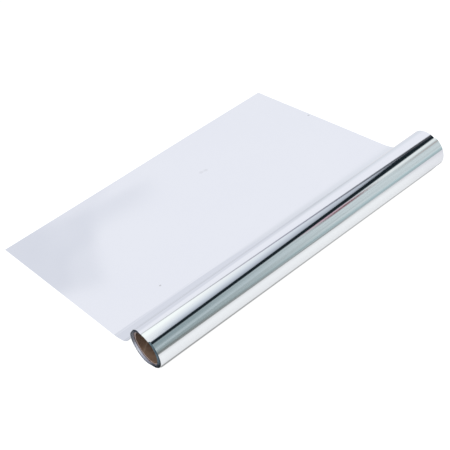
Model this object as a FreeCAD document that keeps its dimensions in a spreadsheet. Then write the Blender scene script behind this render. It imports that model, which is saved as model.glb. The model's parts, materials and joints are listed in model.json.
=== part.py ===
import FreeCAD, Part
import math
import os
import Sketcher

# A roll of household aluminium foil with a length of its web drawn off.
# Millimetres, +Z up. The roll's axis runs along X, the web lies towards +Y.
# The origin is on the table, under the middle of the object's box.

# Driving sizes
SIZES = {
    "web_width": 300.0,
    "web_thickness": 0.2,
    "core_bore_radius": 13.3,
    "core_wall": 1.5,
    "core_recess": 2.5,
    "winding_build": 2.0,
    "turns_wander": 2.0,
    "turn_pitch": 0.5,
    "turn_groove_width": 0.15,
    "turn_groove_depth": 0.5,
    "slope_run": 15.0,
    "bend_radius": 33.0,
    "flat_run": 177.4,
}

# Sizes that follow from them, as expressions
CORE_RADIUS = "(Sizes.core_bore_radius + Sizes.core_wall)"
ROLL_RADIUS = f"({CORE_RADIUS} + Sizes.winding_build)"
WINDING_LENGTH = "(Sizes.web_width + Sizes.turns_wander)"
CENTRES_APART = f"sqrt(({ROLL_RADIUS} + Sizes.bend_radius)^2 + Sizes.slope_run^2)"
CENTRES_RISE = f"(Sizes.bend_radius + Sizes.web_thickness - {ROLL_RADIUS})"
TOUCH_DOWN = f"sqrt({CENTRES_APART}^2 - {CENTRES_RISE}^2)"


def make_sizes(doc):
    """The sheet of driving sizes, one named cell each."""
    sheet = doc.addObject("Spreadsheet::Sheet", "Sizes")
    for row, (name, value) in enumerate(SIZES.items(), start=1):
        sheet.set(f"A{row}", name)
        sheet.set(f"B{row}", str(value))
        sheet.setAlias(f"B{row}", name)
    doc.recompute()
    return sheet


def make_body(doc, name):
    """A body whose own X axis is the roll's axis, with X zero at the web's near edge."""
    body = doc.addObject("PartDesign::Body", name)
    body.Label = name
    body.setExpression("Placement.Base.x", "-(Sizes.web_width - Sizes.turns_wander) / 2")
    body.setExpression("Placement.Base.y", f"-({TOUCH_DOWN} + Sizes.flat_run - {ROLL_RADIUS}) / 2")
    body.setExpression("Placement.Base.z", ROLL_RADIUS)
    return body


def origin_feature(body, role):
    """One of the body's own planes or axes."""
    return next(item for item in body.Origin.OriginFeatures if item.Role == role)


def make_sketch(body, name, role):
    """An empty sketch on one of the body's own planes."""
    sketch = body.newObject("Sketcher::SketchObject", name)
    sketch.AttachmentSupport = [(origin_feature(body, role), "")]
    sketch.MapMode = "FlatFace"
    return sketch


def bind(sketch, name, constraint, expression):
    """Adds a dimension to the sketch, named and driven by an expression."""
    index = sketch.addConstraint(constraint)
    sketch.renameConstraint(index, name)
    sketch.setExpression(f"Constraints.{name}", expression)


def add_circle(sketch, name, start_radius, expression):
    """A circle round the roll's axis, with its radius driven."""
    circle = Part.Circle(FreeCAD.Vector(), FreeCAD.Vector(0, 0, 1), start_radius)
    index = sketch.addGeometry(circle, False)
    sketch.addConstraint(Sketcher.Constraint("Coincident", index, 3, -1, 1))
    bind(sketch, name, Sketcher.Constraint("Radius", index, start_radius), expression)
    return index


def make_ring(body, name, bore, rim):
    """A sketch of two circles round the roll's axis. Each is a start radius and its expression."""
    sketch = make_sketch(body, name, "YZ_Plane")
    add_circle(sketch, "bore", *bore)
    add_circle(sketch, "rim", *rim)
    return sketch


def make_core(doc, size):
    """The paperboard tube. It stops short of the wound turns at both ends."""
    body = make_body(doc, "core_tube")
    core_radius = size["core_bore_radius"] + size["core_wall"]
    bore = (size["core_bore_radius"], "Sizes.core_bore_radius")
    ring = make_ring(body, "core_ring", bore, (core_radius, CORE_RADIUS))
    ring.setExpression("AttachmentOffset.Base.z", "Sizes.core_recess - Sizes.turns_wander")
    pad = body.newObject("PartDesign::Pad", "core_length")
    pad.Profile = ring
    pad.setExpression("Length", f"{WINDING_LENGTH} - 2 * Sizes.core_recess")
    return body


class WebPath:
    """Where the web's section runs, in the roll's own frame, for the sketch to start from."""

    def __init__(self, size):
        self.core = size["core_bore_radius"] + size["core_wall"]
        self.roll = self.core + size["winding_build"]
        self.thickness = size["web_thickness"]
        self.bend = size["bend_radius"]
        apart = math.hypot(self.roll + self.bend, size["slope_run"])
        rise = self.bend + self.thickness - self.roll
        self.touch_down = math.sqrt(apart**2 - rise**2)
        self.free_edge = self.touch_down + size["flat_run"]
        self.leaves_at = math.atan2(rise, self.touch_down) + math.acos((self.roll + self.bend) / apart)
        self.under_leaves_at = self.leaves_at - math.acos(1 - self.thickness / self.roll)
        self.bend_centre = FreeCAD.Vector(self.touch_down, rise, 0)

    def on_roll(self, angle):
        return FreeCAD.Vector(math.cos(angle), math.sin(angle), 0) * self.roll

    def on_bend(self, radius, angle):
        return self.bend_centre + FreeCAD.Vector(math.cos(angle), math.sin(angle), 0) * radius

    def on_table(self, y, height):
        return FreeCAD.Vector(y, height - self.roll, 0)


def arc(centre, radius, start, end):
    """An arc that runs anticlockwise between two angles."""
    return Part.ArcOfCircle(Part.Circle(centre, FreeCAD.Vector(0, 0, 1), radius), start, end)


def make_web_section(body, size):
    """The section of wound turns and drawn-off web: round the roll, down the slope,
    through the bend and flat along the table, with the core's place left open."""
    path = WebPath(size)
    slope_end = path.leaves_at + math.pi
    straight_down = 1.5 * math.pi
    under = path.bend + path.thickness
    sketch = make_sketch(body, "web_section", "YZ_Plane")
    shapes = [
        arc(FreeCAD.Vector(), path.roll, path.leaves_at, path.under_leaves_at + 2 * math.pi),
        Part.LineSegment(path.on_roll(path.under_leaves_at), path.on_bend(under, slope_end)),
        arc(path.bend_centre, under, slope_end, straight_down),
        Part.LineSegment(path.on_table(path.touch_down, 0), path.on_table(path.free_edge, 0)),
        Part.LineSegment(path.on_table(path.free_edge, 0), path.on_table(path.free_edge, path.thickness)),
        Part.LineSegment(
            path.on_table(path.free_edge, path.thickness), path.on_table(path.touch_down, path.thickness)
        ),
        arc(path.bend_centre, path.bend, slope_end, straight_down),
        Part.LineSegment(path.on_bend(path.bend, slope_end), path.on_roll(path.leaves_at)),
    ]
    roll, slope_under, bend_under, flat_under, free_edge, flat_top, bend_top, slope_top = sketch.addGeometry(
        shapes, False
    )
    for first, first_point, second, second_point in (
        (slope_top, 2, roll, 1),
        (slope_top, 1, bend_top, 1),
        (bend_top, 2, flat_top, 2),
        (flat_under, 1, bend_under, 2),
        (bend_under, 1, slope_under, 2),
    ):
        sketch.addConstraint(Sketcher.Constraint("Tangent", first, first_point, second, second_point))
    for first, first_point, second, second_point in (
        (slope_under, 1, roll, 2),
        (flat_under, 2, free_edge, 1),
        (free_edge, 2, flat_top, 1),
        (bend_under, 3, bend_top, 3),
        (roll, 3, -1, 1),
    ):
        sketch.addConstraint(Sketcher.Constraint("Coincident", first, first_point, second, second_point))
    sketch.addConstraint(Sketcher.Constraint("Parallel", slope_under, slope_top))
    sketch.addConstraint(Sketcher.Constraint("Horizontal", flat_under))
    sketch.addConstraint(Sketcher.Constraint("Horizontal", flat_top))
    sketch.addConstraint(Sketcher.Constraint("Vertical", free_edge))
    roll_radius = Sketcher.Constraint("Radius", roll, path.roll)
    bind(sketch, "roll_radius", roll_radius, ROLL_RADIUS)
    table_drop = Sketcher.Constraint("DistanceY", flat_under, 1, -1, 1, path.roll)
    bind(sketch, "table_drop", table_drop, ROLL_RADIUS)
    top_radius = Sketcher.Constraint("Radius", bend_top, path.bend)
    bind(sketch, "top_radius", top_radius, "Sizes.bend_radius")
    under_radius = Sketcher.Constraint("Radius", bend_under, under)
    bind(sketch, "under_radius", under_radius, "Sizes.bend_radius + Sizes.web_thickness")
    slope_run = Sketcher.Constraint("Distance", slope_top, size["slope_run"])
    bind(sketch, "slope_run", slope_run, "Sizes.slope_run")
    flat_run = Sketcher.Constraint("Distance", flat_under, size["flat_run"])
    bind(sketch, "flat_run", flat_run, "Sizes.flat_run")
    add_circle(sketch, "core_place", path.core, CORE_RADIUS)
    return sketch


def add_turn_groove(body, name, size, end, inward):
    """The turns' edges, as one spiral groove in an end face of the roll.

    end is where that face lies on the roll's axis, inward the way into the roll."""
    low = size["core_bore_radius"] + size["core_wall"] + size["turn_pitch"]
    high = low + size["turn_groove_width"]
    bottom = end + inward * size["turn_groove_depth"]
    corners = [
        FreeCAD.Vector(end, low, 0),
        FreeCAD.Vector(bottom, low, 0),
        FreeCAD.Vector(bottom, high, 0),
        FreeCAD.Vector(end, high, 0),
    ]
    sketch = make_sketch(body, f"{name}_section", "XZ_Plane")
    sides = sketch.addGeometry(
        [Part.LineSegment(start, finish) for start, finish in zip(corners, corners[1:] + corners[:1])], False
    )
    lower, inner, upper, mouth = sides
    for side, next_side in zip(sides, sides[1:] + sides[:1]):
        sketch.addConstraint(Sketcher.Constraint("Coincident", side, 2, next_side, 1))
    for level in (lower, upper):
        sketch.addConstraint(Sketcher.Constraint("Horizontal", level))
    for upright in (inner, mouth):
        sketch.addConstraint(Sketcher.Constraint("Vertical", upright))
    start_height = Sketcher.Constraint("DistanceY", -1, 1, lower, 1, low)
    bind(sketch, "start_height", start_height, f"{CORE_RADIUS} + Sizes.turn_pitch")
    width = Sketcher.Constraint("Distance", mouth, size["turn_groove_width"])
    bind(sketch, "groove_width", width, "Sizes.turn_groove_width")
    depth = Sketcher.Constraint("Distance", lower, size["turn_groove_depth"])
    bind(sketch, "groove_depth", depth, "Sizes.turn_groove_depth")
    if inward > 0:
        face_place = Sketcher.Constraint("DistanceX", lower, 1, -1, 1, size["turns_wander"])
        bind(sketch, "face_place", face_place, "Sizes.turns_wander")
    else:
        face_place = Sketcher.Constraint("DistanceX", -1, 1, lower, 1, size["web_width"])
        bind(sketch, "face_place", face_place, "Sizes.web_width")
    body.Document.recompute()
    helix = body.newObject("PartDesign::SubtractiveHelix", name)
    helix.Profile = sketch
    helix.ReferenceAxis = (origin_feature(body, "X_Axis"), [""])
    helix.Mode = "height-turns-growth"
    helix.Height = 0
    helix.setExpression("Growth", "Sizes.turn_pitch")
    helix.setExpression("Turns", "Sizes.winding_build / Sizes.turn_pitch - 2")
    return helix


def make_foil(doc, size):
    """The web of foil: its wound turns, and the length that is drawn off."""
    body = make_body(doc, "foil")
    section = make_web_section(body, size)
    web = body.newObject("PartDesign::Pad", "web")
    web.Profile = section
    web.setExpression("Length", "Sizes.web_width")
    doc.recompute()
    core_radius = size["core_bore_radius"] + size["core_wall"]
    roll_radius = core_radius + size["winding_build"]
    ring = make_ring(body, "wander_ring", (core_radius, CORE_RADIUS), (roll_radius, ROLL_RADIUS))
    wander = body.newObject("PartDesign::Pad", "wandered_turns")
    wander.Profile = ring
    wander.Reversed = True
    wander.setExpression("Length", "Sizes.turns_wander")
    doc.recompute()
    ungrooved = body.Shape.Volume
    add_turn_groove(body, "near_turns", size, -size["turns_wander"], 1)
    doc.recompute()
    near_grooved = body.Shape.Volume
    add_turn_groove(body, "far_turns", size, size["web_width"], -1)
    doc.recompute()
    if not body.Shape.Volume < near_grooved < ungrooved:
        raise RuntimeError("a turn groove cut nothing")
    return body


def check(doc, bodies):
    """Stops if any object failed, or a body has no good solid."""
    failed = [item.Name for item in doc.Objects if {"Invalid", "Error"} & set(item.State)]
    if failed:
        raise RuntimeError(f"these objects failed: {failed}")
    for body in bodies:
        if body.Shape.isNull() or not body.Shape.isValid():
            raise RuntimeError(f"{body.Label} has no valid shape")


def main():
    doc = FreeCAD.newDocument("foil_roll")
    make_sizes(doc)
    bodies = [make_core(doc, SIZES), make_foil(doc, SIZES)]
    doc.recompute()
    check(doc, bodies)
    os.makedirs("parts", exist_ok=True)
    for body in bodies:
        box = body.Shape.BoundBox
        print(body.Label, len(body.Shape.Solids), round(body.Shape.Volume, 1), box)
        body.Shape.exportStep(f"parts/{body.Label}.step")


main()
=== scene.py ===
import json
import math

import bpy
import numpy as np
from mathutils import Matrix, Vector


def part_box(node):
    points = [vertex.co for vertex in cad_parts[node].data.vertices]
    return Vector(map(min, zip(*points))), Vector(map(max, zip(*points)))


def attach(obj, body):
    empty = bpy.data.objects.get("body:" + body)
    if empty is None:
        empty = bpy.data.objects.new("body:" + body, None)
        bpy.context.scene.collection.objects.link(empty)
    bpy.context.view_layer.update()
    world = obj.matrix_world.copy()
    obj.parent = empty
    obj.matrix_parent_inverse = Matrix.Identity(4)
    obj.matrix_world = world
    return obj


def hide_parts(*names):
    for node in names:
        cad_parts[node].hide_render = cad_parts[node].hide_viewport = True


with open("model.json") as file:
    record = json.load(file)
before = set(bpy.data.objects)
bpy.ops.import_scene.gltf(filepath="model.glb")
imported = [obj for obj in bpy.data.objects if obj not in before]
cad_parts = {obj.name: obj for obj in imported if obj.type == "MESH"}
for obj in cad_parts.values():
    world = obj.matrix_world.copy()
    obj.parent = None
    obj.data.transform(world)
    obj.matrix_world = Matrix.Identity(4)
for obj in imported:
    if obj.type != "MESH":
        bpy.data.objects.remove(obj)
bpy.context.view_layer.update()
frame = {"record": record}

MM = 0.001

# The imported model's own places, in metres
FOIL_LOW, FOIL_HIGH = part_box("foil")
CORE_LOW, CORE_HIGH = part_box("core_tube")
ROLL_RADIUS = FOIL_HIGH.z / 2
AXIS_Y = FOIL_LOW.y + ROLL_RADIUS
AXIS_Z = ROLL_RADIUS
CORE_RADIUS = (CORE_HIGH.z - CORE_LOW.z) / 2
BORE_MOUNT = next(m for m in frame["record"]["mounts"] if m["name"] == "core_bore")
BORE_RADIUS = BORE_MOUNT["dims"]["r_mm"] * MM

# The drawn-off web's section, as in the part
BEND_RADIUS = 33.0 * MM
SLOPE_RUN = 15.0 * MM
TURNS_WANDER = 2.0 * MM
WEB_WIDTH = FOIL_HIGH.x - FOIL_LOW.x - TURNS_WANDER
WEB_NEAR_X = FOIL_LOW.x + TURNS_WANDER

# What shows of the web
WEB_THICKNESS = 0.04 * MM
WEB_LAP = 1.4 * MM
LAST_TURN_DROP = 0.10 * MM
INNER_TURNS = 8
INNER_TURN_GAP = 0.05 * MM
LIP_DEPTH = 1.2 * MM
LIP_SHARE = 0.0065

# How finely the web, the turns and the tube are divided
FLAT_ROWS = 90
BEND_ROWS = 40
SLOPE_ROWS = 10
WRAP_ROWS = 241
WEB_COLUMNS = 96
EDGE_COLUMNS = 7
EDGE_SHARE = 0.02
STEPS_A_TURN = 120
CORE_STEPS = 144
CORE_STATIONS = 160

# The soft foot where the bend comes down to the table, by its place behind the axis
FOOT_LIFT = 0.60 * MM
FOOT_PLACE = 43.5 * MM
FOOT_SPREAD = 12.0 * MM
FOOT_NEAR_SHARE = 0.74

# Small marks on the drawn-off foil, all darker: a speck, and a crease and a nick whose shade is painted; the
# place, the reach and how dark each is
SPECK = (Vector((-91.2, -36.8, 0.0)) * MM, 1.3 * MM, 1.0)
CREASE_SHADE_START = (Vector((28.7, 60.7, 0.0)) * MM, 3.0 * MM, 0.25)
CREASE_SHADE_END = (Vector((33.1, 59.9, 0.0)) * MM, 3.0 * MM, 0.25)
NICK_SHADE = (Vector((148.3, 44.7, 0.0)) * MM, 1.6 * MM, 0.7)
MARK_CORE = 0.4

# The foil's rolling lines to the metre, and how rough it is
ROLLING_LINES = 1400.0
LEAST_ROUGH = 0.03
MOST_ROUGH = 0.045

# The paperboard's spiral seam: the run of one turn of it, and where it starts
SEAM_PITCH = 124 * MM
SEAM_START = 1.564

# Camera
CAMERA_AZIMUTH = math.radians(-30.246)
CAMERA_ELEVATION = math.radians(35.780)
CAMERA_ROLL = math.radians(-15.348)
CAMERA_TARGET = Vector((-8.755, -19.602, 0.0)) * MM
CAMERA_DISTANCE = 888.24 * MM
CAMERA_LENS = 84.617
SENSOR_WIDTH = 36.0

# The card that the object lies on, and the painted contact shadow on it, a dark line where the roll stands
FLOOR_FRONT = 90 * MM
FLOOR_BACK = 320 * MM
FLOOR_SIDE = 420 * MM
FLOOR_DROP = 0.05 * MM
CONTACT_SHADOW_SLANT = 0.003
CONTACT_SHADOW_FADES = 144.5 * MM
CONTACT_SHADOW_ENDS = 148.5 * MM

# The studio round the object
GLOW_TINT = (0.985, 1.0, 1.02)
PANEL_FRONT_RIM = (0.748, -0.343, -0.568)
PANEL_BACK_RIM = (0.521, 0.325, -0.547)


def on_axis(angle, radius):
    """Y and Z of a point round the roll's axis."""
    return AXIS_Y + radius * math.cos(angle), AXIS_Z + radius * math.sin(angle)


def ease(share):
    """A smooth rise from 0 to 1."""
    share = np.clip(share, 0, 1)
    return share * share * (3 - 2 * share)


def place_in_scene(name, data):
    """A new object in the scene."""
    made = bpy.data.objects.new(name, data)
    bpy.context.scene.collection.objects.link(made)
    return made


class WebPath:
    """The section of the web's outer face, from the free edge to the end of its last turn."""

    def __init__(self):
        apart = math.hypot(ROLL_RADIUS + BEND_RADIUS, SLOPE_RUN)
        rise = BEND_RADIUS + WEB_THICKNESS - ROLL_RADIUS
        reach = math.sqrt(apart**2 - rise**2)
        self.bend_centre = (AXIS_Y + reach, BEND_RADIUS + WEB_THICKNESS)
        self.leaves_at = math.atan2(rise, reach) + math.acos((ROLL_RADIUS + BEND_RADIUS) / apart)
        self.flat_run = FOIL_HIGH.y - self.bend_centre[0]
        self.bend_run = BEND_RADIUS * (math.pi / 2 - self.leaves_at)

    def on_bend(self, angle):
        """Y and Z of the bend's point with that outward normal."""
        y = self.bend_centre[0] - BEND_RADIUS * math.cos(angle)
        z = self.bend_centre[1] - BEND_RADIUS * math.sin(angle)
        return y, z

    def rows(self):
        """Each row is y, z, the outward normal's angle, the run from the free edge and the wrap angle."""
        rows = []
        for step in np.linspace(0, 1, FLAT_ROWS)[:-1]:
            y = FOIL_HIGH.y - step * self.flat_run
            rows.append((y, WEB_THICKNESS, math.pi / 2, step * self.flat_run, 0.0))
        for step in np.linspace(0, 1, BEND_ROWS)[:-1]:
            angle = math.pi / 2 + step * (self.leaves_at - math.pi / 2)
            y, z = self.on_bend(angle)
            rows.append((y, z, angle, self.flat_run + step * self.bend_run, 0.0))
        run = self.flat_run + self.bend_run
        foot = self.on_bend(self.leaves_at)
        head = on_axis(self.leaves_at, ROLL_RADIUS)
        for step in np.linspace(0, 1, SLOPE_ROWS)[:-1]:
            y = foot[0] + step * (head[0] - foot[0])
            z = foot[1] + step * (head[1] - foot[1])
            rows.append((y, z, self.leaves_at, run + step * SLOPE_RUN, 0.0))
        run += SLOPE_RUN
        for wrap in np.linspace(0, 2 * math.pi, WRAP_ROWS):
            radius = ROLL_RADIUS - LAST_TURN_DROP * (wrap / (2 * math.pi))
            y, z = on_axis(self.leaves_at + wrap, radius)
            rows.append((y, z, self.leaves_at + wrap, run + wrap * ROLL_RADIUS, wrap))
        return np.array(rows)


def mark_rims(mesh, lines, count):
    """Keeps the rims of a solid sharp, on both of its grids."""
    sharp = set()
    for line in lines:
        for start, end in zip(line[:-1].tolist(), line[1:].tolist()):
            sharp.add((start, end))
            sharp.add((start + count, end + count))
    for edge in mesh.edges:
        edge.use_edge_sharp = tuple(sorted(edge.vertices)) in sharp


def grid_solid(name, outer, inner):
    """A closed thin solid between two equal grids of points, with its rims sharp."""
    rows, columns = outer.shape[:2]
    count = rows * columns
    index = np.arange(count).reshape(rows, columns)
    a, b, c, d = index[:-1, :-1], index[:-1, 1:], index[1:, 1:], index[1:, :-1]
    faces = [np.stack([a, d, c, b], -1).reshape(-1, 4)]
    faces.append(np.stack([a, b, c, d], -1).reshape(-1, 4) + count)
    lines = (index[0], index[-1], index[:, 0], index[:, -1])
    for line, turned in zip(lines, (True, False, False, True)):
        start, end = (line[1:], line[:-1]) if turned else (line[:-1], line[1:])
        faces.append(np.stack([start + count, end + count, end, start], -1))
    mesh = bpy.data.meshes.new(name)
    points = np.concatenate([outer.reshape(-1, 3), inner.reshape(-1, 3)])
    mesh.from_pydata(points.tolist(), [], np.concatenate(faces).tolist())
    mesh.polygons.foreach_set("use_smooth", [True] * len(mesh.polygons))
    mark_rims(mesh, lines, count)
    mesh.validate()
    return mesh


def web_drift(wrap):
    """How far the whole web has drifted towards the near end, by its wrap angle."""
    return -WEB_LAP * ease((wrap - math.radians(160)) / math.radians(180))


def top_lap(wrap, across):
    """How far the web laps over the turns' near ends at the top, up to a small notch. It starts
    sooner at the far edge."""
    near = 0.55 * ease(wrap / math.radians(20)) + 0.45 * ease((wrap - math.radians(42)) / math.radians(18))
    far = ease(wrap / math.radians(14))
    fall = ease((wrap - math.radians(91.5)) / math.radians(2))
    rise = near[:, None] * (1 - across) + far[:, None] * across
    return -WEB_LAP * rise * (1 - fall)[:, None]


def web_waves(x, run):
    """The slight unevenness of the drawn-off foil's flat length."""
    return (
        0.10 * np.sin(x / (31 * MM) + 0.6 * np.sin(run / (45 * MM)))
        + 0.08 * np.sin(run / (23 * MM) + x / (60 * MM) + 1.0)
        + 0.18
    ) * MM


def foot_lift(y, across):
    """The height that the bend's soft foot adds, at its largest just above the table. The foot
    is narrower towards the near edge."""
    narrower = (FOOT_NEAR_SHARE + (1 - FOOT_NEAR_SHARE) * across)[None, :]
    away = np.clip((y[:, None] - AXIS_Y - FOOT_PLACE) / (FOOT_SPREAD * narrower), -1, 1)
    return FOOT_LIFT * narrower * np.cos(away * math.pi / 2) ** 2


def web_columns():
    """The shares of the web's width where it has points, close together at both edges."""
    even = np.linspace(0, 1, WEB_COLUMNS)
    near_edge = np.linspace(0, EDGE_SHARE, EDGE_COLUMNS)
    far_edge = np.linspace(1 - EDGE_SHARE, 1, EDGE_COLUMNS)
    return np.unique(np.concatenate([even, near_edge, far_edge]))


def make_web():
    """The drawn-off web and its last turn on the roll, as one thin ribbon."""
    path = WebPath()
    rows = path.rows()
    across = web_columns()
    wrap = rows[:, 4]
    x = WEB_NEAR_X + web_drift(wrap)[:, None] + across[None, :] * WEB_WIDTH
    x = x + top_lap(wrap, across[None, :])
    normal = np.stack([np.zeros(len(rows)), np.cos(rows[:, 2]), np.sin(rows[:, 2])], -1)
    run = rows[:, 3][:, None] + 0 * x
    lift = web_waves(x, run) * ease((path.flat_run - rows[:, 3]) / (25 * MM))[:, None]
    lift = lift + np.where(wrap[:, None] > 0, 0, foot_lift(rows[:, 0], across))
    outer = np.stack([x, rows[:, 0][:, None] + 0 * x, rows[:, 1][:, None] + 0 * x], -1)
    outer = outer + normal[:, None, :] * lift[..., None]
    inner = outer - normal[:, None, :] * WEB_THICKNESS
    return grid_solid("web", outer, inner)


def turns_near_end(share, turn):
    """Where each turn's near edge lies: the inner turns stand out in front, and all do behind."""
    behind = np.clip(0.5 + 0.9 * np.cos(turn + math.radians(5)), 0, 1)
    low = np.clip(0.5 - 0.6 * np.sin(turn), 0, 1)
    in_front = 1.95 - (0.8 + 0.6 * low) * (1 - share)
    at_back = 0.45 - 0.25 * share
    dent = 1.2 * np.clip(np.cos(turn - math.radians(254)), 0, 1) ** 24
    wander = 0.08 * np.sin(turn * 0.31 + 1.0) + 0.04 * np.sin(turn * 2.3)
    return FOIL_LOW.x + (0.15 + in_front * (1 - behind) + at_back * behind + dent + wander) * MM


def turns_lip(share, turn):
    """How far the near edges of the inner turns are pressed inwards, low in front."""
    low_front = np.clip(1.2 * np.cos(turn - math.radians(225)) - 0.2, 0, 1)
    return LIP_DEPTH * low_front * (1 - share)


def make_turns():
    """The turns under the last one, as one spiral ribbon whose edges show at the roll's ends."""
    build = ROLL_RADIUS - LAST_TURN_DROP - 2 * WEB_THICKNESS - CORE_RADIUS
    pitch = build / (INNER_TURNS + 1)
    thickness = pitch - INNER_TURN_GAP
    angles = np.linspace(0, 2 * math.pi * INNER_TURNS, STEPS_A_TURN * INNER_TURNS + 1)
    radius = CORE_RADIUS + thickness + pitch * angles / (2 * math.pi)
    turn = WebPath().leaves_at + angles
    share = angles / angles[-1]
    near = turns_near_end(share, turn)
    far = FOIL_HIGH.x - (0.9 + 0.3 * np.sin(turn * 0.83)) * MM
    across = np.array([0, 0.002, 0.0045, LIP_SHARE, 0.01, 0.5, 0.99, 0.998, 1])
    x = near[:, None] + across[None, :] * (far - near)[:, None]
    lip = turns_lip(share, turn)[:, None] * np.clip(1 - across / LIP_SHARE, 0, 1)[None, :]
    normal = np.stack([0 * turn, np.cos(turn), np.sin(turn)], -1)
    centre = np.array([0, AXIS_Y, AXIS_Z])
    ring = centre + normal * radius[:, None]
    outer = ring[:, None, :] + np.stack([x, 0 * x, 0 * x], -1) - normal[:, None, :] * lip[..., None]
    inner = outer - normal[:, None, :] * thickness
    return grid_solid("turns", outer, inner)


def make_foil():
    """The web and the turns under it, as one object."""
    web = place_in_scene("foil_web", make_web())
    turns = place_in_scene("turns", make_turns())
    for item in bpy.context.selected_objects:
        item.select_set(False)
    web.select_set(True)
    turns.select_set(True)
    bpy.context.view_layer.objects.active = web
    bpy.ops.object.join()
    web.data.name = "foil_web"
    return web


def make_core():
    """The spiral-wound paperboard tube."""
    angles = np.linspace(0, 2 * math.pi, CORE_STEPS + 1)
    stations = np.linspace(0, 1, CORE_STATIONS)
    length = CORE_HIGH.x - CORE_LOW.x
    x = CORE_LOW.x + stations[:, None] * length + 0 * angles[None, :]
    cos, sin = np.cos(angles), np.sin(angles)
    outer = np.stack([x, AXIS_Y + CORE_RADIUS * cos + 0 * x, AXIS_Z + CORE_RADIUS * sin + 0 * x], -1)
    inner = np.stack([x, AXIS_Y + BORE_RADIUS * cos + 0 * x, AXIS_Z + BORE_RADIUS * sin + 0 * x], -1)
    made = place_in_scene("core_paperboard", grid_solid("core_paperboard", outer, inner))
    weld = made.modifiers.new("weld", "WELD")
    weld.merge_threshold = 0.01 * MM
    return made


class Nodes:
    """A small help for building a node tree."""

    def __init__(self, tree):
        self.tree = tree
        tree.nodes.clear()

    def add(self, kind, inputs=None, **settings):
        node = self.tree.nodes.new(kind)
        for name, value in settings.items():
            setattr(node, name, value)
        for name, value in (inputs or {}).items():
            if isinstance(value, bpy.types.NodeSocket):
                self.tree.links.new(value, node.inputs[name])
            else:
                node.inputs[name].default_value = value
        return node

    def math(self, operation, first, second=0.0, clamp=False):
        node = self.add("ShaderNodeMath", {0: first, 1: second}, operation=operation, use_clamp=clamp)
        return node.outputs[0]

    def times(self, first, second, clamp=False):
        return self.math("MULTIPLY", first, second, clamp)

    def plus(self, first, second, clamp=False):
        return self.math("ADD", first, second, clamp)

    def minus(self, first, second, clamp=False):
        return self.math("SUBTRACT", first, second, clamp)

    def larger(self, first, second):
        return self.math("MAXIMUM", first, second)

    def mix(self, share, first, second):
        node = self.add("ShaderNodeMix", {0: share, 6: first, 7: second}, data_type="RGBA")
        return node.outputs[2]

    def step(self, value, low, high):
        """A smooth rise from 0 at low to 1 at high."""
        ends = {"Value": value, "From Min": low, "From Max": high}
        return self.add("ShaderNodeMapRange", ends, interpolation_type="SMOOTHSTEP").outputs[0]

    def band(self, value, start, rise, fall, end):
        """1 between rise and fall, and 0 before start and after end."""
        return self.times(self.step(value, start, rise), self.step(value, end, fall))

    def xyz(self, vector):
        """The three parts of a vector."""
        return list(self.add("ShaderNodeSeparateXYZ", {0: vector}).outputs)

    def side_of(self, way, normal):
        """How far a direction is to one side of a plane through the middle."""
        parts = {0: way, 1: Vector(normal).normalized()}
        return self.add("ShaderNodeVectorMath", parts, operation="DOT_PRODUCT").outputs["Value"]

    def distance(self, place, other):
        """How far apart two places are."""
        return self.add("ShaderNodeVectorMath", {0: place, 1: other}, operation="DISTANCE").outputs["Value"]

    def round_axis(self, y, z):
        """The distance from the roll's axis and the angle round it."""
        y = self.minus(y, AXIS_Y)
        z = self.minus(z, AXIS_Z)
        squares = self.plus(self.times(y, y), self.times(z, z))
        return self.math("SQRT", squares), self.math("ARCTAN2", z, y)

    def face_normal(self):
        """The three parts of a face's own normal."""
        return self.xyz(self.add("ShaderNodeNewGeometry").outputs["True Normal"])

    def facing_end(self, normal_x):
        """1 on the faces that look along the roll."""
        return self.step(self.math("ABSOLUTE", normal_x), 0.5, 0.8)

    def ramp(self, share, stops):
        node = self.add("ShaderNodeValToRGB", {0: share})
        ramp = node.color_ramp
        while len(ramp.elements) < len(stops):
            ramp.elements.new(0.5)
        for element, (place, colour) in zip(ramp.elements, stops):
            element.position = place
            element.color = colour
        return node.outputs[0]


def new_material(name):
    """An empty material and its nodes."""
    material = bpy.data.materials.new(name)
    material.use_nodes = True
    return material, Nodes(material.node_tree)


def shade(level, tint=(1.0, 1.0, 1.0)):
    """A grey of that brightness, tinted."""
    return (level * tint[0], level * tint[1], level * tint[2], 1.0)


def wound_faces(nodes, y, z):
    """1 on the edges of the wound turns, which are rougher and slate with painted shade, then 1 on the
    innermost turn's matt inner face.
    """
    radius, angle = nodes.round_axis(y, z)
    last_turn = ROLL_RADIUS - LAST_TURN_DROP - 1.5 * WEB_THICKNESS
    inside = nodes.step(radius, last_turn, last_turn - 0.02 * MM)
    normal_x, normal_y, normal_z = nodes.face_normal()
    outward_y = nodes.times(normal_y, nodes.math("COSINE", angle))
    outward_z = nodes.times(normal_z, nodes.math("SINE", angle))
    outward = nodes.plus(outward_y, outward_z)
    dull_and_shaded = nodes.larger(nodes.facing_end(normal_x), nodes.step(outward, 0.2, 0.5))
    inner = nodes.times(nodes.step(outward, -0.5, -0.8), inside)
    return nodes.times(inside, dull_and_shaded), inner


# The turns' edges' tones, from the top to low in front: their own slate, darkened by painted shade to nearly
# black low in front
SLATE_AND_SHADE_TONES = (
    (0.30, (0.34, 0.44, 0.49, 1)),
    (0.57, (0.22, 0.30, 0.36, 1)),
    (0.82, (0.12, 0.17, 0.21, 1)),
    (0.95, (0.03, 0.05, 0.075, 1)),
)
# Painted shade on the edges behind: nearly black at the top, lighter low down
TOP_BACK_SHADE = (0.05, 0.06, 0.085, 1)
LOW_BACK_SHADE = (0.26, 0.29, 0.36, 1)

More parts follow.
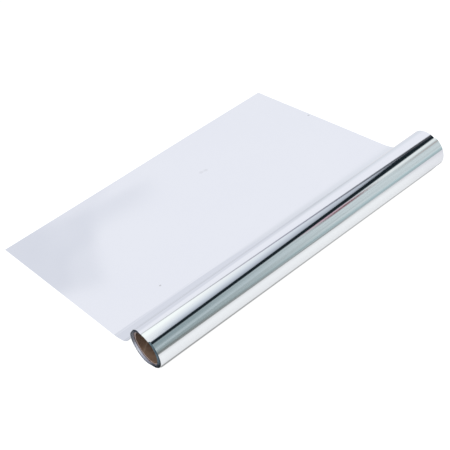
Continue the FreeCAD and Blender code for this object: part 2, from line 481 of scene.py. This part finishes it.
# The innermost turn's inner face, from its lowest to its middle: a pale matt tone of its own with painted
# light and shade by height; and the painted shade close by the tube
INNER_FACE_LIGHT_TONES = (
    (0.06, (0.34, 0.35, 0.44, 1)),
    (0.16, (0.56, 0.58, 0.70, 1)),
    (0.24, (0.86, 0.89, 1.0, 1)),
    (0.36, (0.80, 0.83, 0.98, 1)),
    (0.50, (0.34, 0.35, 0.40, 1)),
)
BY_TUBE_SHADE = (0.16, 0.13, 0.16, 1)


def wound_tone(nodes, place, tone, ends, inner):
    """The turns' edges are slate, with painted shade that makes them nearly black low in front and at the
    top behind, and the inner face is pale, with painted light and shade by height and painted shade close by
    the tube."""
    x, y, z = nodes.xyz(place)
    y = nodes.times(nodes.minus(y, AXIS_Y), 1 / ROLL_RADIUS)
    z = nodes.times(nodes.minus(z, AXIS_Z), 1 / ROLL_RADIUS)
    low_front = nodes.plus(nodes.times(y, -0.25), nodes.times(z, -0.42))
    # Painted shade: the edges' slate darkens towards the bottom in front and at the top behind
    slate = nodes.ramp(nodes.plus(low_front, 0.5), SLATE_AND_SHADE_TONES)
    back = nodes.mix(nodes.step(z, -0.55, -0.85), TOP_BACK_SHADE, LOW_BACK_SHADE)
    edges = nodes.mix(nodes.step(y, -0.25, 0.05), slate, back)
    tone = nodes.mix(ends, tone, edges)
    # Painted light and shade on the inner face by height, and painted shade in the corner by the tube
    pale = nodes.ramp(nodes.plus(nodes.times(z, 0.5), 0.5), INNER_FACE_LIGHT_TONES)
    by_tube_shade = nodes.step(x, CORE_LOW.x - 0.8 * MM, CORE_LOW.x - 0.3 * MM)
    return nodes.mix(inner, tone, nodes.mix(by_tube_shade, pale, BY_TUBE_SHADE))


def web_marks_and_shade(nodes, place):
    """How dark the drawn-off foil's small marks are: a speck, and the painted shade of a crease and a nick.
    """
    dull_and_shaded = 0.0
    for mark, reach, depth in (SPECK, CREASE_SHADE_START, CREASE_SHADE_END, NICK_SHADE):
        near_by = nodes.step(nodes.distance(place, mark), reach, MARK_CORE * reach)
        dull_and_shaded = nodes.larger(nodes.times(near_by, depth), dull_and_shaded)
    return dull_and_shaded


def foil_material():
    """Mirror-bright rolled foil, with fine rolling lines along the web, painted shade on its small marks and
    painted light and shade on the wound turns.
    """
    material, nodes = new_material("bright_foil")
    place = nodes.add("ShaderNodeTexCoord").outputs["Object"]
    x, y, z = nodes.xyz(place)
    lines = nodes.add(
        "ShaderNodeTexNoise",
        {"W": nodes.times(x, ROLLING_LINES), "Detail": 3.0, "Roughness": 0.7},
        noise_dimensions="1D",
    )
    relief = {"Strength": 0.25, "Distance": 0.01 * MM, "Height": lines.outputs["Fac"]}
    bump = nodes.add("ShaderNodeBump", relief)
    cloud = nodes.add("ShaderNodeTexNoise", {"Vector": place, "Scale": 14.0, "Detail": 2.0})
    cloud = cloud.outputs["Fac"]
    ends, inner = wound_faces(nodes, y, z)
    tone = nodes.mix(cloud, (0.84, 0.85, 0.87, 1), (0.86, 0.87, 0.88, 1))
    # Darker marks on the web: a speck, and the painted shade of a crease and a nick
    tone = nodes.mix(web_marks_and_shade(nodes, place), tone, shade(0.60))
    tone = wound_tone(nodes, place, tone, ends, inner)
    rough = nodes.add(
        "ShaderNodeMapRange",
        {"Value": cloud, "From Min": 0.3, "From Max": 0.7, "To Min": LEAST_ROUGH, "To Max": MOST_ROUGH},
    )
    rough = nodes.plus(rough.outputs[0], nodes.times(ends, 0.35))
    rough = nodes.larger(rough, nodes.times(inner, 0.8))
    metal = nodes.minus(1.0, inner)
    shader = nodes.add(
        "ShaderNodeBsdfPrincipled",
        {"Base Color": tone, "Metallic": metal, "Roughness": rough, "Normal": bump.outputs[0]},
    )
    nodes.add("ShaderNodeOutputMaterial", {"Surface": shader.outputs[0]})
    return material


def spiral_seam(nodes, x, y, z):
    """1 along the paperboard's seam, which winds round the tube."""
    _, angle = nodes.round_axis(y, z)
    turns = nodes.plus(nodes.times(x, 1 / SEAM_PITCH), SEAM_START)
    turns = nodes.minus(turns, nodes.times(angle, 0.5 / math.pi))
    return nodes.band(nodes.math("FRACT", turns), 0.488, 0.494, 0.506, 0.512)


def paperboard_material():
    """Brown kraft paperboard with long fibres, a spiral seam and paler cut ends, and painted shade deep in
    the bore and over its top half.
    """
    material, nodes = new_material("kraft_paperboard")
    place = nodes.add("ShaderNodeTexCoord").outputs["Object"]
    x, y, z = nodes.xyz(place)
    fibres = nodes.add("ShaderNodeTexNoise", {"Vector": place, "Scale": 900.0, "Detail": 4.0})
    relief = {"Strength": 0.4, "Distance": 0.1 * MM, "Height": fibres.outputs["Fac"]}
    bump = nodes.add("ShaderNodeBump", relief)
    blotch = nodes.add("ShaderNodeTexNoise", {"Vector": place, "Scale": 160.0, "Detail": 4.0})
    tone = nodes.mix(blotch.outputs["Fac"], (0.11, 0.063, 0.042, 1), (0.29, 0.18, 0.12, 1))
    # Painted shade: darker deep in the bore and over its top half
    deep_bore_shade = nodes.step(x, CORE_LOW.x + 3 * MM, CORE_LOW.x + 15 * MM)
    upper_bore_shade = nodes.step(z, AXIS_Z + 1 * MM, AXIS_Z + 8 * MM)
    darker = nodes.larger(nodes.times(deep_bore_shade, 0.85), nodes.times(upper_bore_shade, 0.6))
    tone = nodes.mix(darker, tone, (0.035, 0.02, 0.014, 1))
    tone = nodes.mix(nodes.times(spiral_seam(nodes, x, y, z), 0.4), tone, (0.36, 0.26, 0.20, 1))
    cut = nodes.facing_end(nodes.face_normal()[0])
    tone = nodes.mix(cut, tone, (0.42, 0.32, 0.29, 1))
    shader = nodes.add(
        "ShaderNodeBsdfPrincipled",
        {"Base Color": tone, "Roughness": 0.85, "Normal": bump.outputs[0]},
    )
    nodes.add("ShaderNodeOutputMaterial", {"Surface": shader.outputs[0]})
    return material


def mirrored_card(nodes, x, in_front):
    """Painted light and shade on the card, which the foil mirrors: weaker towards its front edge, behind the
    roll and to the right, with a dark strip along the front edge and a painted shadow, next to no glow,
    under the roll."""
    # Painted light and shade: dimmer towards the front edge, behind the roll and to the right, with a dark
    # strip along the front edge
    level = nodes.mix(nodes.step(in_front, 35 * MM, 85 * MM), shade(0.75, GLOW_TINT), shade(0.48, GLOW_TINT))
    level = nodes.mix(nodes.step(in_front, 0.0, -15 * MM), level, shade(0.60, GLOW_TINT))
    level = nodes.mix(nodes.step(x, 100 * MM, 220 * MM), level, shade(0.54, (1.02, 1.0, 1.11)))
    strip = nodes.times(nodes.step(in_front, 74 * MM, 75 * MM), nodes.step(x, 110 * MM, 60 * MM))
    level = nodes.mix(strip, level, shade(0.08, (1.0, 1.0, 0.92)))
    # Painted shadow under the roll
    clear_of_painted_shadow = nodes.step(nodes.math("ABSOLUTE", in_front), 7 * MM, 14 * MM)
    return nodes.mix(clear_of_painted_shadow, shade(0.12), level)


def seen_card(nodes, x, in_front):
    """White card, with a painted contact shadow: a thin dark line where the roll stands."""
    slanting = nodes.plus(in_front, nodes.times(x, CONTACT_SHADOW_SLANT))
    # Painted contact shadow: a thin dark line where the roll stands, fading out past the roll's ends
    line = nodes.band(slanting, 0.0, 2 * MM, 6 * MM, 8.3 * MM)
    line = nodes.times(line, nodes.step(nodes.math("ABSOLUTE", x), CONTACT_SHADOW_ENDS, CONTACT_SHADOW_FADES))
    return nodes.mix(line, shade(1.0), shade(0.08))


def floor_material():
    """White card with a light table's glow, which leaves only a faint shadow; the thin dark line where the
    roll stands is a painted contact shadow, and the glow that the foil mirrors holds painted light and
    shade.
    """
    material, nodes = new_material("white_card")
    x, y, _ = nodes.xyz(nodes.add("ShaderNodeTexCoord").outputs["Object"])
    in_front = nodes.minus(AXIS_Y, y)
    seen = nodes.add("ShaderNodeLightPath").outputs["Is Camera Ray"]
    glow = nodes.mix(seen, mirrored_card(nodes, x, in_front), seen_card(nodes, x, in_front))
    emission = nodes.add("ShaderNodeEmission", {"Color": glow})
    card = nodes.add("ShaderNodeBsdfDiffuse", {"Color": shade(0.18)})
    both = nodes.add("ShaderNodeAddShader", {0: emission.outputs[0], 1: card.outputs[0]})
    nodes.add("ShaderNodeOutputMaterial", {"Surface": both.outputs[0]})
    return material


def make_floor():
    """The white card that the object lies on."""
    y0, y1 = AXIS_Y - FLOOR_FRONT, AXIS_Y + FLOOR_BACK
    z = -FLOOR_DROP
    corners = [(-FLOOR_SIDE, y0, z), (FLOOR_SIDE, y0, z), (FLOOR_SIDE, y1, z), (-FLOOR_SIDE, y1, z)]
    mesh = bpy.data.meshes.new("floor")
    mesh.from_pydata(corners, [], [(0, 1, 2, 3)])
    mesh.materials.append(floor_material())
    place_in_scene("floor", mesh)


# The overhead panel's tones, from its middle to its front rim
PANEL_TONES = (
    (0.20, shade(1.00, (0.96, 1.0, 1.02))),
    (0.28, shade(0.86, (0.93, 1.0, 1.07))),
    (0.36, shade(0.66, (0.92, 1.0, 1.12))),
    (0.45, shade(0.46, (0.91, 1.0, 1.15))),
    (0.478, shade(0.018, (0.60, 1.0, 1.3))),
)


def studio_panel(nodes, way, front_rim):
    """The overhead panel, which darkens towards its black front rim. The rim is wider to the
    right, and at the far left the panel stays white up to it."""
    right, _, _ = nodes.xyz(way)
    wider = nodes.times(nodes.minus(right, 0.52, clamp=True), 0.9)
    to_rim = nodes.plus(nodes.plus(front_rim, wider), 0.5, clamp=True)
    panel = nodes.ramp(to_rim, PANEL_TONES)
    far_left = nodes.times(nodes.step(right, 0.314, 0.300), nodes.step(front_rim, -0.045, -0.08))
    panel = nodes.mix(nodes.times(far_left, 0.8), panel, shade(1.0, (0.97, 1.0, 1.01)))
    return nodes.mix(nodes.step(front_rim, -0.29, -0.37), panel, shade(1.13, (0.95, 1.0, 0.98)))


# The room's tones by height, at its left and at its right
LEFT_ROOM_TONES = (
    (0.16, shade(0.16, (0.96, 1.0, 0.95))),
    (0.27, shade(0.33, (0.80, 1.0, 1.03))),
    (0.44, shade(0.40, (0.78, 1.0, 1.07))),
    (0.64, shade(0.42, (0.78, 1.0, 1.08))),
    (0.76, shade(0.35, (0.76, 1.0, 1.08))),
)
RIGHT_ROOM_TONES = (
    (0.10, shade(0.56, (0.84, 1.0, 1.06))),
    (0.24, shade(0.62, (0.76, 1.0, 1.05))),
    (0.40, shade(0.80, (0.89, 1.0, 1.03))),
)

# Spots in the room: a band away from the panel's rim, a band to the right, and the tone
TO_THE_END = (2.0, 3.0)
PINK_SPOT = ((0.085, 0.11, 0.14, 0.18), (0.455, 0.475, 0.49, 0.52), (0.70, 0.48, 0.57, 1))
RED_SPOT = ((0.14, 0.17, 0.22, 0.26), (0.465, 0.49, 0.51, 0.535), (0.24, 0.12, 0.14, 1))
WHITE_SPOT = ((0.11, 0.14, 0.20, 0.27), (0.51, 0.55, *TO_THE_END), shade(0.92, (0.95, 1.0, 1.0)))
BROWN_SPOT = ((0.27, 0.30, 0.33, 0.36), (0.54, 0.58, *TO_THE_END), (0.46, 0.43, 0.42, 1))


def room_streaks(nodes, way, front_rim, room):
    """The room with broad soft streaks, then with fine dark and pale ones."""
    right, _, _ = nodes.xyz(way)
    stretched = nodes.add("ShaderNodeMapping", {"Vector": way, "Scale": (4.0, 3.0, 8.0)})
    broad = nodes.add("ShaderNodeTexNoise", {"Vector": stretched.outputs[0], "Scale": 1.0, "Detail": 3.0})
    darker = nodes.step(broad.outputs["Fac"], 0.58, 0.40)
    room = nodes.mix(nodes.times(darker, 0.30), room, shade(0.34, (0.82, 1.0, 1.02)))
    along = nodes.plus(nodes.times(front_rim, 12.0), nodes.times(right, 5.0))
    fine = nodes.add(
        "ShaderNodeTexNoise",
        {"W": along, "Detail": 2.0, "Roughness": 0.7},
        noise_dimensions="1D",
    )
    dark = nodes.times(nodes.step(fine.outputs["Fac"], 0.52, 0.66), 0.45)
    light = nodes.times(nodes.step(fine.outputs["Fac"], 0.48, 0.36), 0.40)
    room = nodes.mix(dark, room, shade(0.24, (0.90, 1.0, 0.96)))
    return nodes.mix(light, room, shade(0.75, (0.88, 1.0, 1.04)))


def studio_room(nodes, way, front_rim):
    """The teal-grey room in front: paler to the right, streaked, with a pale band that slants and
    a few spots."""
    right, _, up = nodes.xyz(way)
    height = nodes.plus(up, 0.3, clamp=True)
    left_tone = nodes.ramp(height, LEFT_ROOM_TONES)
    right_tone = nodes.ramp(height, RIGHT_ROOM_TONES)
    room = nodes.mix(nodes.step(right, 0.29, 0.54), left_tone, right_tone)
    slant = nodes.minus(up, nodes.times(right, 2.0))
    pale = nodes.times(nodes.band(slant, -0.54, -0.47, -0.37, -0.24), nodes.step(right, 0.50, 0.32))
    room = nodes.mix(nodes.times(pale, 0.50), room, shade(0.85, (0.86, 1.0, 1.06)))
    room = room_streaks(nodes, way, front_rim, room)
    for from_rim, to_right, tone in (PINK_SPOT, RED_SPOT, WHITE_SPOT, BROWN_SPOT):
        spot = nodes.times(nodes.band(front_rim, *from_rim), nodes.band(right, *to_right))
        room = nodes.mix(spot, room, tone)
    return room


def dim_corner(nodes, way):
    """How dim the wall is in a soft cloudy patch at the left, with a fainter tongue to the right."""
    right, back, height = nodes.xyz(way)
    slant = nodes.minus(right, nodes.times(back, 0.57))
    corner = nodes.times(nodes.step(slant, -0.118, -0.133), nodes.band(height, 0.533, 0.539, 0.594, 0.603))
    cloud = nodes.add("ShaderNodeTexNoise", {"Vector": way, "Scale": 22.0, "Detail": 3.0})
    cloud = nodes.add("ShaderNodeMapRange", {"Value": cloud.outputs["Fac"], "To Min": 0.45, "To Max": 1.45})
    corner = nodes.times(corner, cloud.outputs[0], clamp=True)
    lighter = nodes.times(nodes.step(slant, -0.165, -0.153), nodes.step(height, 0.563, 0.573))
    corner = nodes.times(corner, nodes.minus(1.0, nodes.times(lighter, 0.32)))
    tongue = nodes.times(nodes.band(height, 0.534, 0.538, 0.543, 0.566), nodes.step(right, 0.387, 0.345))
    return nodes.larger(corner, nodes.times(tongue, 0.60))


def studio_wall(nodes, way):
    """The pale wall behind, dimmer low down, in its left corner, in a band that the bend's foot
    mirrors and in a thin line at the horizon."""
    right, back, height = nodes.xyz(way)
    far = nodes.step(right, 0.44, 0.56)
    low = nodes.mix(far, shade(0.74, (0.955, 1.0, 1.08)), shade(0.84, (0.955, 1.0, 1.08)))
    wall = nodes.mix(nodes.step(height, 0.12, 0.56), low, shade(0.95, (0.985, 1.0, 1.075)))
    slant = nodes.minus(back, nodes.times(right, 0.72))
    foot = nodes.times(nodes.step(slant, 0.526, 0.550), nodes.step(height, 0.575, 0.45))
    foot = nodes.times(foot, nodes.step(right, 0.58, 0.46))
    dim = nodes.larger(dim_corner(nodes, way), foot)
    wall = nodes.mix(dim, wall, shade(0.81, (0.972, 1.0, 1.10)))
    horizon = nodes.times(nodes.step(height, 0.12, 0.01), nodes.step(right, 0.58, 0.50))
    return nodes.mix(nodes.times(horizon, 0.45), wall, shade(0.50, (0.965, 1.0, 1.10)))


def draw_back_rim(nodes, way, back_rim, colour):
    """Adds the thin grey line along the panel's back rim, nearly black to the right."""
    right, back, _ = nodes.xyz(way)
    line = nodes.times(nodes.band(back_rim, -0.225, -0.185, -0.165, -0.115), nodes.step(back, -0.14, -0.02))
    darkness = nodes.add(
        "ShaderNodeMapRange",
        {"Value": right, "From Min": 0.28, "From Max": 0.56, "To Min": 0.46, "To Max": 0.95},
    )
    to_right = nodes.step(right, 0.44, 0.54)
    tone = nodes.mix(to_right, shade(0.18, (1.06, 0.92, 1.45)), shade(0.09, (0.95, 1.0, 1.15)))
    return nodes.mix(nodes.times(line, darkness.outputs[0]), colour, tone)


def make_studio():
    """What the foil mirrors: an overhead panel with a dark rim in front and a grey one behind, a
    teal-grey room in front and a pale wall behind. Seen straight, it is plain white."""
    world = bpy.data.worlds.new("studio")
    bpy.context.scene.world = world
    world.use_nodes = True
    nodes = Nodes(world.node_tree)
    way = nodes.add("ShaderNodeTexCoord").outputs["Generated"]
    front_rim = nodes.side_of(way, PANEL_FRONT_RIM)
    back_rim = nodes.side_of(way, PANEL_BACK_RIM)
    panel = studio_panel(nodes, way, front_rim)
    room = studio_room(nodes, way, front_rim)
    front = nodes.mix(nodes.step(front_rim, 0.085, 0.135), panel, room)
    _, back, _ = nodes.xyz(way)
    behind = nodes.times(nodes.step(back, -0.10, 0.0), nodes.step(back_rim, -0.155, -0.11))
    colour = nodes.mix(behind, front, studio_wall(nodes, way))
    colour = draw_back_rim(nodes, way, back_rim, colour)
    seen = nodes.add("ShaderNodeLightPath").outputs["Is Camera Ray"]
    colour = nodes.mix(seen, colour, shade(1.05))
    background = nodes.add("ShaderNodeBackground", {"Color": colour})
    nodes.add("ShaderNodeOutputWorld", {"Surface": background.outputs[0]})


def make_light():
    """A broad soft light from above."""
    data = bpy.data.lights.new("overhead", "SUN")
    data.energy = 1.6
    data.angle = math.radians(80)
    light = place_in_scene("overhead", data)
    light.visible_glossy = False


def make_camera():
    """The photograph's view."""
    azimuth, elevation = CAMERA_AZIMUTH, CAMERA_ELEVATION
    back = Vector(
        (
            math.sin(azimuth) * math.cos(elevation),
            -math.cos(azimuth) * math.cos(elevation),
            math.sin(elevation),
        )
    )
    right = Vector((0, 0, 1)).cross(back).normalized()
    up = back.cross(right)
    turned_right = right * math.cos(CAMERA_ROLL) + up * math.sin(CAMERA_ROLL)
    turned_up = up * math.cos(CAMERA_ROLL) - right * math.sin(CAMERA_ROLL)
    data = bpy.data.cameras.new("camera")
    data.lens = CAMERA_LENS
    data.sensor_width = SENSOR_WIDTH
    data.clip_start = 10 * MM
    camera = place_in_scene("camera", data)
    place = Matrix((turned_right, turned_up, back)).transposed().to_4x4()
    place.translation = CAMERA_TARGET + back * CAMERA_DISTANCE
    camera.matrix_world = place
    bpy.context.scene.camera = camera


def main():
    make_camera()
    foil = make_foil()
    foil.data.materials.append(foil_material())
    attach(foil, "root")
    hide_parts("foil")
    core = make_core()
    core.data.materials.append(paperboard_material())
    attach(core, "root")
    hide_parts("core_tube")
    make_floor()
    make_studio()
    make_light()
    bpy.context.scene.view_settings.view_transform = "Standard"


main()
